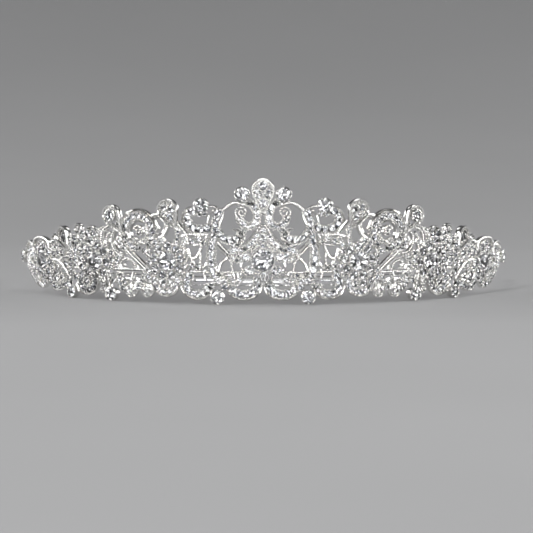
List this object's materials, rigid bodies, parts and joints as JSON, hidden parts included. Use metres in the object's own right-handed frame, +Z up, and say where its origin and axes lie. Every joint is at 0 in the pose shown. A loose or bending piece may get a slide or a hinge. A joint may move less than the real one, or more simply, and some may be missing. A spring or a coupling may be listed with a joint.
{
  "type": "bridal tiara",
  "caption": "Curved bridal tiara of pierced silver-tone scrollwork with round clear stones, soldered to a slim headband with an eyelet at each end.",
  "frame": {"origin": "under the middle of the whole tiara, at the height of the lowest cups", "axes": "+X to the viewer's right as the tiara is seen from the front, +Z up, the decorated front faces -Y and the open ends point to +Y"},
  "size_m": [0.1564, 0.0926, 0.0379],
  "materials": {
    "plated_metal": "bright rhodium plating",
    "band_metal": "plain polished strip",
    "crystal": "clear cut glass with a foiled back"
  },
  "bodies": {
    "root": {"centre_casting": "plated_metal", "centre_flower_stone": "crystal", "headband": "band_metal", "left_crest_cup": "plated_metal", "left_crest_stone": "crystal", "left_end_casting": "plated_metal", "left_end_cup": "plated_metal", "left_end_eyelet": "band_metal", "left_end_stone": "crystal", "left_flower_casting": "plated_metal", "left_front_flower_stone": "crystal", "left_front_foot_cup": "plated_metal", "left_front_foot_stone": "crystal", "left_middle_foot_cup": "plated_metal", "left_middle_foot_stone": "crystal", "left_rear_flower_stone": "crystal", "left_rear_foot_cup": "plated_metal", "left_rear_foot_stone": "crystal", "left_shoulder_cup": "plated_metal", "left_shoulder_stone": "crystal", "left_side_flower_casting": "plated_metal", "left_side_flower_stone": "crystal", "left_spiral_casting": "plated_metal", "left_stem_casting": "plated_metal", "left_top_cup": "plated_metal", "left_top_stone": "crystal", "medallion_bottom_stone": "crystal", "medallion_left_stone": "crystal", "medallion_right_stone": "crystal", "medallion_top_stone": "crystal", "petal_bottom_stone": "crystal", "petal_lower_left_stone": "crystal", "petal_lower_right_stone": "crystal", "petal_upper_left_stone": "crystal", "petal_upper_right_stone": "crystal", "right_crest_cup": "plated_metal", "right_crest_stone": "crystal", "right_end_casting": "plated_metal", "right_end_cup": "plated_metal", "right_end_eyelet": "band_metal", "right_end_stone": "crystal", "right_flower_casting": "plated_metal", "right_front_flower_stone": "crystal", "right_front_foot_cup": "plated_metal", "right_front_foot_stone": "crystal", "right_middle_foot_cup": "plated_metal", "right_middle_foot_stone": "crystal", "right_rear_flower_stone": "crystal", "right_rear_foot_cup": "plated_metal", "right_rear_foot_stone": "crystal", "right_shoulder_cup": "plated_metal", "right_shoulder_stone": "crystal", "right_side_flower_casting": "plated_metal", "right_side_flower_stone": "crystal", "right_spiral_casting": "plated_metal", "right_stem_casting": "plated_metal", "right_top_cup": "plated_metal", "right_top_stone": "crystal"}
  },
  "joints": []
}
